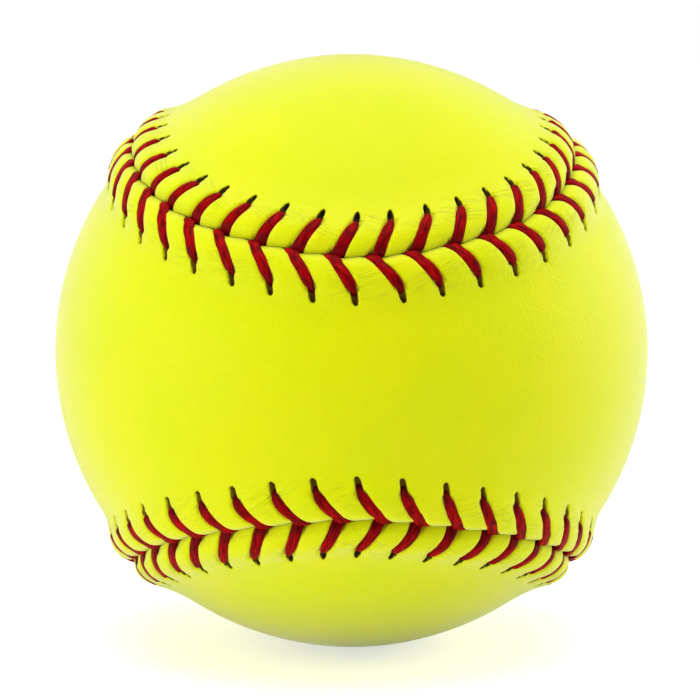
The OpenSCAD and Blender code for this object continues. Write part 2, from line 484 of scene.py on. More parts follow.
def turned(faces: Array) -> Array:
    """Returns the faces turned inside out, with a triangle still repeating its third."""
    return np.where((faces[:, 2] == faces[:, 3])[:, None], faces[:, [1, 0, 2, 3]], faces[:, ::-1])


def strip(first: int, second: int, fine: int, coarse: int) -> Array:
    """Lays faces between two closed rows of points.

    Args:
        first: Number of the first row's first point.
        second: Number of the second row's first point.
        fine: Points in the first row, an even multiple of the second's or as many.
        coarse: Points in the second row.

    Returns:
        Rows of four indices, where a triangle repeats its third.
    """
    here = np.arange(fine)
    after = (here + 1) % fine
    if fine == coarse:
        return np.stack([first + here, first + after, second + after, second + here], axis=1)
    ratio = fine // coarse
    apex = second + (here // ratio + (here % ratio >= ratio // 2)) % coarse
    fans = np.stack([first + here, first + after, apex, apex], axis=1)
    cells = np.arange(coarse)
    middle = first + cells * ratio + ratio // 2
    left, right = second + cells, second + (cells + 1) % coarse
    return np.concatenate([fans, np.stack([middle, right, left, left], axis=1)])


def sheet(rows: list[Row], first: int, ends_at: Array) -> Array:
    """Lays faces between rows of points, of which the last is the middle line that they close on.

    Args:
        rows: The rows.
        first: Number of the first row's first point.
        ends_at: Which point of the line each point of the row before it ends at.

    Returns:
        Rows of four indices, where a triangle repeats its third.
    """
    starts = first + np.cumsum([0, *(row.count for row in rows[:-1])])
    strips = [strip(*starts[i : i + 2], rows[i].count, rows[i + 1].count) for i in range(len(rows) - 2)]
    here = np.arange(len(ends_at))
    after = (here + 1) % len(ends_at)
    row, line = starts[-2:]
    closing = np.stack([row + here, row + after, line + ends_at[after], line + ends_at[here]], axis=1)
    return np.concatenate([*strips, closing])


@dataclass(frozen=True)
class CoverPanel:
    """One of the two figure-eight panels, with its ridge, the beds of its stitches and its lacing holes."""

    name: str  # name of the piece
    side: Side
    lacing: Lacing
    thickness: float = 1.4 * MM  # of the sheet
    fineness: int = 20  # points for each stitch near the seam
    field_fineness: int = 10  # points for each stitch in the smooth field
    field_rows: int = 12  # rows from the ridge to the panel's middle line
    field_off: float = 12.0 * MM  # distance from the seam line at which the field starts
    probe: float = 0.02  # part of a stitch by which the seam's length is measured
    plain_off: float = 8.6 * MM  # distance from which the columns spread out evenly towards the field
    lobe_share: float = 0.55  # share of a quarter of the seam at which a panel is widest
    crowding: float = 0.45  # how much the points crowd round the stitches, from 0 to 1
    bed_w: float = 0.93 * MM  # half width of the bed that the thread has pressed into the ridge
    bed_flare: Span = (0.2, 1.4 * MM)  # share by which it is wider at the crease, and how far that reaches
    bed_wall: int = 6  # power that makes its walls steep
    bed_fade: Span = (4.9 * MM, 6.0 * MM)  # where it runs out towards the hole
    pillow_h: float = 0.36 * MM  # how far the cover swells up between two stitches
    pillow_stray: float = 0.25  # share by which that differs from stitch to stitch
    pillow_rise: Span = (0.0, 1.4 * MM)
    pillow_fall: Span = (3.4 * MM, 7.6 * MM)
    fold_depth: float = 0.16 * MM  # depth of the fine folds beside the stitches
    fold_w: float = 0.6 * MM  # distance between two folds
    fold_slant: float = 2.4 * MM  # distance along the seam in which a fold has moved on by one
    fold_rise: Span = (2.5 * MM, 4.5 * MM)
    fold_fall: Span = (7.0 * MM, 9.5 * MM)
    fold_patch: float = 3.0 * MM  # width of the patches with more or fewer folds
    dent_depth: float = 0.05 * MM  # depth of the cover's broad unevenness near the seam
    dent_w: float = 4.0 * MM  # width of that unevenness
    hole_depth: float = 1.2 * MM
    hole_lead: float = 0.3 * MM  # how far a hole starts before the place where the leg comes out
    hole_wall: Span = (0.75, 1.1)  # where its wall falls, as shares of its half width
    pull_depth: float = 0.1 * MM  # depth of the dip that the thread's pull leaves round a hole's far end
    pull_r: float = 1.3 * MM  # radius of that dip
    pull_lead: float = 0.5 * MM  # how far its middle lies before the hole's far end
    pull_stretch: float = 1.2  # how much longer it is along the seam
    crease_gap: float = 0.2 * MM  # how far the panel's edge gives way where the thread goes down the crease
    gap_span: Span = (1.2 * MM, 0.7 * MM)  # how far along the seam and away from it the edge gives way
    crease_shade_w: float = 0.4 * MM  # reach of the painted shade that darkens the crease
    ridge_off: float = 4.0 * MM  # distance from which the ridge's finish fades out
    # Rows tucked down into the crease: distance from it and depth, in millimetres
    tucks: tuple[Span, ...] = ((0.08, 1.5), (0.04, 0.9), (0.025, 0.35), (0.025, 0.1))
    # Bands of rows over the ridge: first distance, last distance, in millimetres, and number of rows
    bands: tuple[tuple[float, float, int], ...] = (
        (0.03, 1.1, 8),
        (1.1, 3.0, 5),
        (3.0, 7.7, 23),
        (7.7, 12.0, 6),
    )
    # Rows of the lining: points for each stitch, distance, and depth under the ridge, in millimetres
    lining: tuple[tuple[int, float, float], ...] = (
        (20, 0.3, 1.7),
        (10, 3.0, 1.5),
        (2, 4.6, 2.0),
        (2, 7.4, 1.6),
        (2, 9.5, 1.7),
    )
    lining_field: tuple[int, int] = (2, 5)  # points for each stitch and rows of the lining's field

    @property
    def seam(self) -> Seam:
        """The seam round the panel."""
        return self.lacing.seam

    def columns(self, distance: float) -> tuple[Array, Array]:
        """Finds where the points of a row near the seam lie along it.

        The columns run along the stitches' legs and crowd round them, and even out towards the field.

        Args:
            distance: The row's distance from the seam line.

        Returns:
            Places along the seam, and places measured from the nearest leg, in stitches.
        """
        even = np.arange(self.seam.stitches * self.fineness) / self.fineness
        stitch = np.floor(even)
        half = even - stitch - (even - stitch >= 0.5)
        crowded = half * (1 - self.crowding) + 4 * self.crowding * half**3
        share = crowded + (even - stitch >= 0.5)
        here = np.full_like(even, distance)
        before = stitch + self.lacing.leg_place(self.side, stitch, here)
        after = stitch + 1 + self.lacing.leg_place(self.side, stitch + 1, here)
        plain = smooth_step(self.plain_off, self.field_off, distance)
        place = (before * (1 - share) + after * share) * (1 - plain) + even * plain
        nearer = np.abs(place - before) < np.abs(place - after)
        return place, np.where(nearer, place - before, place - after)

    def stitch_length(self, place: Array, offset: Array) -> Array:
        """Returns the length of one stitch at an offset from the seam, which the seam's bends change."""
        ends = self.seam.points(place + self.probe, offset) - self.seam.points(place - self.probe, offset)
        return np.linalg.norm(ends, axis=1) / (2 * self.probe)

    def ridge_row(self, distance: float, drop: float = 0.0) -> Row:
        """Makes one row of the skin near the seam.

        Args:
            distance: The row's distance from the crease.
            drop: How far the row is tucked down into the crease.

        Returns:
            The row.
        """
        place, from_leg = self.columns(distance)
        offset = self.lacing.offset(self.side, place, distance)
        across = from_leg * self.stitch_length(place, offset)
        parted = bell(across, self.gap_span[0], 4) * bell(distance, self.gap_span[1])
        offset = offset + self.side.value * self.crease_gap * parted
        here = np.full_like(place, distance)
        height = self.height(place, here, across, from_leg * 2) - drop
        values = {
            "seam_place": np.stack([place * self.seam.pitch, self.side.value * here, across], axis=1),
            "hole": np.minimum(self.from_hole(here, across), 3.0),
            "ridge": 1 - smooth_step(self.ridge_off, self.field_off, here),
            # The crease mask marks where painted shade darkens the leather
            "crease": np.maximum(float(drop > 0), bell(here, self.crease_shade_w)),
        }
        return Row(self.seam.points(place, offset, height), values)

    def from_hole(self, distance: Array, across: Array) -> Array:
        """Finds how far places are from the nearest lacing hole's middle.

        Args:
            distance: Distances from the crease.
            across: Distances from the nearest leg's middle.

        Returns:
            The distances, as shares of the hole's half width, so that 1 is its edge.
        """
        flank = FLANKS[self.side]
        start, end = self.lacing.hole_off - self.hole_lead, self.lacing.hole_end
        drawn = np.clip((distance - start) / (end - start), 0.0, 1.0)
        radius = flank.hole_w / 2 * (1 - flank.hole_taper * drawn**2)
        past = np.maximum(np.abs(distance - (start + end) / 2) - (end - start) / 2 + flank.hole_tip, 0.0)
        return np.hypot(across / radius, past / flank.hole_tip)

    def height(self, place: Array, distance: Array, across: Array, share: Array) -> Array:
        """Finds the height of the skin over the smooth cover.

        Args:
            place: Places along the seam, in stitches.
            distance: Distances from the crease.
            across: Distances from the nearest leg's middle.
            share: The same as a share of half a stitch, from -1 to 1.

        Returns:
            The height at each place.
        """
        lacing = self.lacing
        number = np.floor(place).astype(int) % self.seam.stitches
        swelling = smooth_step(*self.pillow_rise, distance) * (1 - smooth_step(*self.pillow_fall, distance))
        swelling = swelling * (1 + self.pillow_stray * lacing.stray(self.side, Stray.SWELLING)[number])
        pillow = self.pillow_h * swelling * np.sin(math.pi / 2 * np.clip(np.abs(share), 0, 1))
        top = lacing.ridge(self.side, distance) + pillow
        bed_w = self.bed_w * (1 + self.bed_flare[0] * bell(distance, self.bed_flare[1]))
        pressed = bell(across, bed_w, self.bed_wall) * (1 - smooth_step(*self.bed_fade, distance))
        height = top + (lacing.bed(self.side, distance) - top) * pressed
        pulled = np.hypot(across / self.pull_stretch, distance - lacing.hole_end + self.pull_lead)
        height = height - self.pull_depth * bell(pulled, self.pull_r)
        height = height + self.folds(place, distance, across) + self.dents(place, distance)
        return height - self.hole_depth * (1 - smooth_step(*self.hole_wall, self.from_hole(distance, across)))

    def folds(self, place: Array, distance: Array, across: Array) -> Array:
        """Finds the fine folds that the pull of the thread leaves between the stitches.

        Args:
            place: Places along the seam, in stitches.
            distance: Distances from the crease.
            across: Distances from the nearest leg's middle.

        Returns:
            The folds' heights, from minus their depth to 0.
        """
        lines = RoundNoise(self.seam.stitches * 3, 48, 31 + self.side.value)
        patches = RoundNoise(self.seam.stitches, 12, 57 + self.side.value)
        crest = (1 - np.abs(lines.at(place * 3, distance / self.fold_w + across / self.fold_slant))) ** 5
        zone = smooth_step(*self.fold_rise, distance) * (1 - smooth_step(*self.fold_fall, distance))
        patch = smooth_step(-0.3, 0.6, patches.at(place, distance / self.fold_patch))
        return -self.fold_depth * FLANKS[self.side].folding * crest * zone * patch

    def dents(self, place: Array, distance: Array) -> Array:
        """Finds the cover's broad, shallow unevenness near the seam.

        Args:
            place: Places along the seam, in stitches.
            distance: Distances from the crease.

        Returns:
            The heights of the dents.
        """
        noise = RoundNoise(self.seam.stitches // 2, 8, 91 + self.side.value)
        fade = 1 - smooth_step(FLANKS[Side.FRONT].foot, self.field_off, distance)
        return self.dent_depth * noise.at(place / 2, distance / self.dent_w) * fade

    def middle(self, even: Array) -> tuple[Array, Array]:
        """Finds the panel's middle line, and which of its points each column of the field ends at.

        The middle line runs between the centres of the two lobes. Each point of it stands for the places on
        both sides of the panel that lie across it, and its end points for all the places round a lobe.

        Args:
            even: Even places along the seam, in stitches.

        Returns:
            Unit vectors for each column, and point numbers.
        """
        quarter = self.seam.stitches / 4
        step = even[1] - even[0]
        round_place = np.mod(even if self.side is Side.FRONT else even - quarter, self.seam.stitches)
        in_half = np.mod(round_place, 2 * quarter)
        last = round(self.lobe_share * quarter)
        folded = np.minimum(np.minimum(in_half, 2 * quarter - in_half), last)
        second = round_place > 2 * quarter + step / 2
        out = self.seam.frames(folded, 0.0)[0]
        sideways = np.where(second, -out[:, 0], out[:, 0])
        line = unit(np.stack([sideways, out[:, 1], np.zeros_like(sideways)], axis=1))
        number = np.rint(folded / step).astype(int)
        number = np.where(second & (number > 0), number + round(last / step), number)
        if self.side is Side.BACK:
            line = np.stack([line[:, 2], -line[:, 1], -line[:, 0]], axis=1)
        return line, number

    def field_of(self, fineness: int, count: int, height: float) -> tuple[list[Row], Array]:
        """Makes the rows of the smooth field, with the panel's middle line as the last.

        Args:
            fineness: Points for each stitch.
            count: Rows from the ridge to the middle line, without the latter.
            height: Height of the field over the smooth cover.

        Returns:
            The rows, and which point of the middle line each column ends at.
        """
        even = np.arange(self.seam.stitches * fineness) / fineness
        first = self.seam.frames(even, self.field_off * self.side.value)[0]
        line, ends_at = self.middle(even)
        radius = self.seam.ball_r + height
        rows = [Row(unit(first * (1 - i / count) + line * (i / count)) * radius) for i in range(count)]
        ends = np.zeros((ends_at.max() + 1, 3))
        ends[ends_at] = line * radius
        return [*rows, Row(ends)], ends_at

    def lining_row(self, fineness: int, distance: float, depth: float) -> Row:
        """Makes a row of the lining near the seam.

        Args:
            fineness: Points for each stitch.
            distance: The row's distance from the seam line.
            depth: Its depth under the ridge's plain section.

        Returns:
            The row.
        """
        place = np.arange(self.seam.stitches * fineness) / fineness
        height = self.lacing.ridge(self.side, distance) - depth
        return Row(self.seam.points(place, distance * self.side.value, height))

    def build(self) -> bpy.types.Object:
        """Makes the panel's closed mesh, with the skin outside and the lining under it.

        Returns:
            The panel's object.
        """
        distances = np.concatenate([np.linspace(*band, endpoint=False) for band in self.bands])
        first, _, crowded = self.bands[0]
        distances[:crowded] = first + (distances[:crowded] - first) ** 1.5
        skin = [self.ridge_row(distance * MM, drop * MM) for distance, drop in self.tucks]
        skin += [self.ridge_row(distance * MM) for distance in distances]
        lining = [self.lining_row(count, distance * MM, depth * MM) for count, distance, depth in self.lining]
        outer, skin_ends = self.field_of(self.field_fineness, self.field_rows, 0.0)
        inner, lining_ends = self.field_of(*self.lining_field, -self.thickness)
        skin, lining = skin + outer, lining + inner
        start = sum(row.count for row in skin)
        edge = strip(0, start, skin[0].count, lining[0].count)
        inside = np.concatenate([edge, sheet(lining, start, lining_ends)])
        faces = np.concatenate([sheet(skin, 0, skin_ends), turned(inside)])
        if self.side is Side.FRONT:
            faces = turned(faces)
        rows = skin + lining
        return mesh_object(self.name, np.concatenate([row.points for row in rows]), faces, self.values(rows))

    def values(self, rows: list[Row]) -> dict[str, Array]:
        """Gathers the named values of all the points, which are plain on the rows that have none.

        Args:
            rows: All the rows of the panel.

        Returns:
            The values of all the points, by name.
        """
        far = np.array([0.0, self.field_off * 2 * self.side.value, self.seam.pitch / 2])
        plain = {"seam_place": far, "hole": 3.0, "ridge": 0.0, "crease": 0.0}
        return {
            key: np.concatenate(
                [row.values.get(key, np.zeros((row.count, *np.shape(value))) + value) for row in rows]
            )
            for key, value in plain.items()
        }


# The thread

# Inputs of the tree that makes the thread's section: their kinds and values
SECTION = {
    "Geometry": ("Geometry", None),
    "Sides": ("Int", 12),  # corners of the section
    "Plies": ("Int", 3),  # strands that the thread is twisted from
    "Lay": ("Float", 7.0 * MM),  # length of one turn of the strands
    "Ply Depth": ("Float", 0.045),  # depth of the grooves between the strands, as a share of the section
    "Fray": ("Float", 0.03),  # unevenness of its surface, as a share of the section
    "Squareness": ("Float", 0.8),  # power that makes the section boxier than an ellipse, below 1
    "Seed": ("Int", 0),
    "Material": ("Material", None),
}


@dataclass(frozen=True)
class Route:
    """Rings round the thread, one row each."""

    middle: Array
    along: Array  # unit vectors along the seam beside them
    half_w: Array
    half_t: Array
    sheared: Array  # how far each ring is turned to lie along the seam, from 0 to 1
    sunk_shade: Array  # share of painted shade on each ring, where it goes down into a hole or the crease, from 0 to 1

    @staticmethod
    def joined(parts: list["Route"]) -> "Route":
        """Returns the parts as one route."""
        return Route(
            *(np.concatenate([getattr(part, item.name) for part in parts]) for item in fields(Route))
        )


@dataclass(frozen=True)
class ThreadRun:
    """One needle's end of the waxed thread, which laces every other hole of each panel.

    It comes up through a hole, lies flattened in its bed over the ridge, goes down the crease and runs under
    the other panel to that panel's next hole.
    """

    name: str  # name of the piece
    needle: Needle
    lacing: Lacing
    width: float = 1.78 * MM  # where it lies over the ridge
    width_stray: float = 0.08  # share by which that differs from stitch to stitch
    thickness: float = 0.8 * MM  # where it lies over the ridge
    hole_w: float = 0.9 * MM  # width where the hole squeezes it
    dive_w: float = 1.4 * MM  # width where it goes down the crease
    dive_t: float = 0.4 * MM  # thickness there
    under_t: float = 0.5 * MM  # thickness under the cover
    under_h: float = -1.25 * MM  # height of its middle under the cover, measured from the smooth cover
    mouth_off: float = 5.15 * MM  # distance from the seam line at which it comes out of its hole
    mouth_drop: float = 0.55 * MM  # how much further out it starts, under the cover
    brink_off: float = 0.3 * MM  # distance from the seam line at which it turns down into the crease
    brink_span: Span = (0.2 * MM, 2.4 * MM)  # where it flares and thins towards the crease
    flare: float = 0.14  # share by which it is wider there
    thinning: float = 0.25  # share by which it is thinner there
    squeezed: float = 0.4 * MM  # how far under its hole it starts to widen
    shear_span: Span = (0.2 * MM, 2.0 * MM)  # where it turns to lie along the crease
    sunk_span: Span = (3.4 * MM, 5.4 * MM)  # where painted shade darkens it as it sinks towards its hole on the front panel
    sunk_back: Span = (4.9 * MM, 5.5 * MM)  # the same on the back panel
    dip_back: Span = (0.3 * MM, 3.0 * MM)  # where painted shade darkens it as it sinks towards the crease there
    leg_rings: int = 29  # rings over the ridge
    end_rings: int = 5  # rings up from the hole, down the crease, and between the two

    def leg(self, stitch: int, side: Side) -> Route:
        """Makes the rings of one leg, from under its hole to the bottom of the crease.

        Args:
            stitch: Number of the stitch.
            side: Panel that the leg lies on.

        Returns:
            The rings.
        """
        lacing = self.lacing
        over = np.linspace(self.mouth_off, self.brink_off, self.leg_rings)
        up = np.linspace(0.0, 1.0, self.end_rings, endpoint=False)
        down = np.linspace(0.0, 1.0, self.end_rings + 1)[1:]
        stray = lacing.stray(side, Stray.WIDTH)[stitch % lacing.seam.stitches]
        full = self.width * (1 + self.width_stray * stray)
        spread = smooth_step(-self.squeezed, FLANKS[side].opening, self.mouth_off - over)
        narrow = 1 - smooth_step(*self.brink_span, over)
        over_w = self.hole_w + (full - self.hole_w) * spread + self.flare * full * narrow
        over_t = self.thickness * (1 - self.thinning * narrow)
        top = lacing.bed(side, over) + over_t / 2
        # Each has its values up from under the hole, over the ridge and, blended to the last, down the crease
        distance, height, wide, thick = (
            np.concatenate([below + np.zeros_like(up), ridge, ridge[-1] + (bottom - ridge[-1]) * down])
            for below, ridge, bottom in (
                (self.mouth_off + self.mouth_drop * (1 - up), over, 0.0),
                (self.under_h + (top[0] - self.under_h) * up, top, self.under_h),
                (self.hole_w, over_w, self.dive_w),
                (self.under_t, over_t, self.dive_t),
            )
        )
        place = stitch + lacing.leg_place(side, np.full_like(distance, stitch), distance)
        offset = lacing.offset(side, place, distance)
        sheared = 1 - smooth_step(*self.shear_span, distance)
        # Painted shade: darker towards its hole, and on the back panel also towards the crease
        sunk_shade = smooth_step(*self.sunk_span, distance)
        if side is Side.BACK:
            dip = 1 - smooth_step(*self.dip_back, distance)
            sunk_shade = np.maximum(dip, smooth_step(*self.sunk_back, distance))
        middle, along = lacing.seam.points(place, offset, height), lacing.seam.frames(place, offset)[1]
        return Route(middle, along, wide / 2, thick / 2, sheared, sunk_shade)

    def under(self, last: Route, following: Route) -> Route:
        """Makes the rings under the cover, from the crease to the next leg's hole.

        Args:
            last: The leg that ends in the crease.
            following: The leg that comes up next.

        Returns:
            The rings between them.
        """
        share = np.linspace(0.0, 1.0, self.end_rings + 2)[1:-1][:, None]
        middle = last.middle[-1] * (1 - share) + following.middle[0] * share
        along = unit(last.along[-1] * (1 - share) + following.along[0] * share)
        flat = np.ones(self.end_rings)
        return Route(middle, along, flat * self.dive_w / 2, flat * self.under_t / 2, flat * 0.0, flat)

    def route(self) -> Route:
        """Lines up the legs, with the stretches under the cover between them.

        Returns:
            The whole run of rings.
        """
        stitches = self.lacing.seam.stitches
        sides = [Side.FRONT, Side.BACK] if self.needle is Needle.FIRST else [Side.BACK, Side.FRONT]
        legs = [self.leg(stitches - i, sides[i % 2]) for i in range(stitches)]
        parts = [part for last, leg in zip(legs, legs[1:]) for part in (last, self.under(last, leg))]
        return Route.joined([*parts, legs[-1]])

    def spine(self) -> bpy.types.Object:
        """Makes the line of points that the tree turns into the thread, with each ring's half axes on it.

        Returns:
            The line's object.
        """
        route = self.route()
        middle, along = eased(route.middle, 3), eased(route.along, 3)
        way = unit(np.gradient(middle, axis=0))
        square = unit(along - way * (along * way).sum(axis=1, keepdims=True))
        sheared = eased(route.sheared, 2)[:, None]
        across = unit(square * (1 - sheared) + unit(along) * sheared)
        stretched = 1 / np.maximum((across * square).sum(axis=1, keepdims=True), 0.6)
        mesh = bpy.data.meshes.new(self.name + "_spine")
        mesh.from_pydata(middle.tolist(), [(i, i + 1) for i in range(len(middle) - 1)], [])
        values = {
            "middle": middle,
            "across": across * stretched * eased(route.half_w, 2)[:, None],
            "lift": np.cross(way, square) * eased(route.half_t, 2)[:, None],
            "run": run_of(middle),
            "sunk_shade": route.sunk_shade,
        }
        add_values(mesh, values)
        return placed(mesh.name, mesh)

    def build(self, tree: bpy.types.NodeTree, material: bpy.types.Material) -> bpy.types.Object:
        """Makes the thread's mesh.

        Args:
            tree: Tree that wraps the section round the spine.
            material: Finish of the thread.

        Returns:
            The thread's object.
        """
        spine = self.spine()
        modifier = spine.modifiers.new("Wrap", "NODES")
        modifier.node_group = tree
        values = {name: value for name, (_, value) in SECTION.items()}
        values |= {"Seed": 7 if self.needle is Needle.FIRST else 8, "Material": material}
        for item in tree.interface.items_tree:
            if item.item_type == "SOCKET" and values[item.name] is not None:
                modifier[item.identifier] = values[item.name]
        mesh = bpy.data.meshes.new_from_object(spine.evaluated_get(bpy.context.evaluated_depsgraph_get()))
        bpy.data.objects.remove(spine)
        mesh.name = self.name
        for key in ("middle", "across", "lift"):
            mesh.attributes.remove(mesh.attributes[key])
        mesh.shade_smooth()
        return placed(self.name, mesh)


def thread_tree() -> bpy.types.NodeTree:
    """Builds the tree that wraps a twisted, flattened section round a spine.

    Returns:
        The tree, whose inputs hold the sizes of the section.
    """
    tree = bpy.data.node_groups.new("WrapThread", "GeometryNodeTree")
    for name, (kind, _) in SECTION.items():
        tree.interface.new_socket(name, in_out="INPUT", socket_type="NodeSocket" + kind)
    tree.interface.new_socket("Geometry", in_out="OUTPUT", socket_type="NodeSocketGeometry")
    add = partial(add_node, tree)
    given = add("NodeGroupInput").outputs
    # The plain section, with each corner's angle stored on it, is swept along the spine
    turn = add("MULTIPLY", add("DIVIDE", add("GeometryNodeInputIndex"), given["Sides"]), math.tau)
    circle = add("GeometryNodeCurvePrimitiveCircle", Resolution=given["Sides"], Radius=1.0)
    store = partial(add, "GeometryNodeStoreNamedAttribute", data_type="FLOAT", domain="POINT")
    section = store(Geometry=circle, Name="turn", Value=turn)
    curve = add("GeometryNodeMeshToCurve", Mesh=given["Geometry"])
    tube = add("GeometryNodeCurveToMesh", Curve=curve, **{"Profile Curve": section, "Fill Caps": True})
    stored = {"turn": "FLOAT", "run": "FLOAT"} | dict.fromkeys(("middle", "across", "lift"), "FLOAT_VECTOR")
    turn, run, middle, *axes = (
        add("GeometryNodeInputNamedAttribute", Name=name, data_type=kind) for name, kind in stored.items()
    )
    # The grooves between the strands, and the uneven fibres, whose noise stays within a quarter of 0.5
    twist = add("MULTIPLY", add("DIVIDE", run, given["Lay"]), math.tau)
    strand = add("MULTIPLY_ADD", turn, given["Plies"], twist)
    groove = add("MULTIPLY", add("COSINE", strand), given["Ply Depth"])
    place = add("GeometryNodeInputPosition")
    noise = add(NOISE, Vector=place, W=given["Seed"], Scale=1 / (0.9 * MM), Detail=2.0, noise_dimensions="4D")
    uneven = add("MULTIPLY", add("SUBTRACT", noise, 0.5), given["Fray"])
    swell = add("ADD", add("MULTIPLY_ADD", uneven, 4.0, groove), 1.0)
    # Each corner lies at its ring's middle and along its two half axes, by the corner's angle
    parts = []
    for axis, operation in zip(axes, ("COSINE", "SINE")):
        wave = add(operation, turn)
        size = add("MULTIPLY", add("POWER", add("ABSOLUTE", wave), given["Squareness"]), add("SIGN", wave))
        parts.append(add("SCALED", add("SCALED", axis, size), swell))
    target = add("SUM", middle, add("SUM", *parts))
    moved = add("GeometryNodeSetPosition", Geometry=tube, Position=target)
    real = add("GeometryNodeRealizeInstances", Geometry=moved)
    finished = add("GeometryNodeSetMaterial", Geometry=real, Material=given["Material"])
    add("NodeGroupOutput", Geometry=finished)
    return tree


# Finishes


def new_material(name: str) -> tuple[bpy.types.Material, partial, bpy.types.Node]:
    """Makes a material with one Principled shader on its output.

    Args:
        name: Name of the material.

    Returns:
        The material, the call that adds a node to it, and the shader.
    """
    material = bpy.data.materials.new(name)
    material.use_nodes = True
    return material, partial(add_node, material.node_tree), material.node_tree.nodes["Principled BSDF"]


@dataclass(frozen=True)
class SyntheticLeather:
    """Optic yellow synthetic leather: a pigmented polyurethane skin, pressed with a fine pebble grain.

    To the eye it is a saturated, slightly soft gloss, pale where it turns away, with a grain that only a
    grazing light shows. Painted shade darkens its colour in the creases and inside the lacing holes.
    """

    colour: str = "#e6f000"
    warm: str = "#ecf000"  # its warmer patches
    painted_crease_shade: str = "#c6c800"  # painted shade down in the crease
    hole: str = "#4a3a06"  # painted shade inside the back panel's lacing holes
    front_hole_shade: str = "#86680c"  # lighter painted shade inside the front panel's, which lie flatter
    grain: float = 0.5 * MM  # size of one pebble of the grain
    patch: float = 14.0 * MM  # size of the patches of colour
    fold_w: float = 0.8 * MM  # distance between two of the finest folds
    fold_l: float = 6.0 * MM  # length of such a fold
    fold_patch: float = 4.0 * MM  # size of the patches with such folds
    slant: float = 0.35  # how much further from the seam a fold lies for each length along it
    roughness: float = 0.42

    def material(self, side: Side) -> bpy.types.Material:
        """Builds the material.

        Args:
            side: Panel that it is for.

        Returns:
            The material.
        """
        material, add, shader = new_material("optic_yellow_synthetic_leather_" + side.name.lower())
        place = add(COORDINATES).outputs["Object"]
        from_hole, crease = (add(ATTRIBUTE, attribute_name=key).outputs["Fac"] for key in ("hole", "crease"))
        # Mask of the painted shade inside the lacing holes, which also makes them rougher
        hole = add("RISE", from_hole, 1.02, 1.2, 1.0, 0.0)
        warmth = add("RISE", add(NOISE, Vector=place, Scale=1 / self.patch, Detail=3.0), 0.35, 0.65)
        colour = linear(self.colour)
        inside = self.hole if side is Side.BACK else self.front_hole_shade
        # Random warmer patches, then painted shade in the crease and painted shade inside the lacing holes
        for share, tint in ((warmth, self.warm), (add("MULTIPLY", crease, 0.7), self.painted_crease_shade), (hole, inside)):
            colour = add("MIX", share, colour, linear(tint))
        pebbles = partial(add, "ShaderNodeTexVoronoi", feature="SMOOTH_F1")
        cells = pebbles(Vector=place, Scale=1 / self.grain, Randomness=0.9)
        fine = add(NOISE, Vector=place, Scale=1 / (self.grain * 0.6), Detail=2.0)
        grain = add("MULTIPLY_ADD", cells, -0.6, fine)
        rough = add("MULTIPLY_ADD", fine, 0.12, self.roughness - 0.06)
        pressed = add(BUMP, Height=grain, Distance=0.08 * MM, Strength=0.9)
        look = {
            "Base Color": colour,
            "Roughness": add("MULTIPLY_ADD", hole, 0.4, rough),
            "Normal": add(BUMP, Height=self.folds(add), Distance=0.12 * MM, Strength=0.8, Normal=pressed),
            "IOR": 1.5,
            "Specular IOR Level": 0.07,
            "Sheen Weight": 0.5,
            "Sheen Roughness": 0.4,
        }
        set_inputs(shader, **look)
        return material

    def folds(self, add: partial) -> bpy.types.Node:
        """Draws the finest folds, which lie aslant between two stitches on the ridge's outer slope.

        Args:
            add: The call that adds a node to the material.

        Returns:
            The node that gives their height.
        """
        stored = add(ATTRIBUTE, attribute_name="seam_place").outputs["Vector"]
        along, offset, _ = add("ShaderNodeSeparateXYZ", stored).outputs
        distance = add("ABSOLUTE", offset)
        aslant = add("MULTIPLY_ADD", along, self.slant, distance)
        steps = add("DIVIDE", along, self.fold_l), add("DIVIDE", aslant, self.fold_w)
        lines = add(NOISE, Vector=add("ShaderNodeCombineXYZ", *steps), Scale=1.0, Detail=1.0)
        height = add("RISE", add("ABSOLUTE", add("SUBTRACT", lines, 0.5)), 0.0, 0.09, -1.0, 0.0)
        spread = add(COORDINATES).outputs["Object"]
        zones = (
            add("RISE", distance, 1.6 * MM, 3.2 * MM),
            add(ATTRIBUTE, attribute_name="ridge").outputs["Fac"],
            add("RISE", add(NOISE, Vector=spread, Scale=1 / self.fold_patch, Detail=1.0), 0.42, 0.6),
            add("RISE", distance, 6.0 * MM, 8.5 * MM, 1.0, 0.0),
        )
        for zone in zones:
            height = add("MULTIPLY", height, zone)
        return height


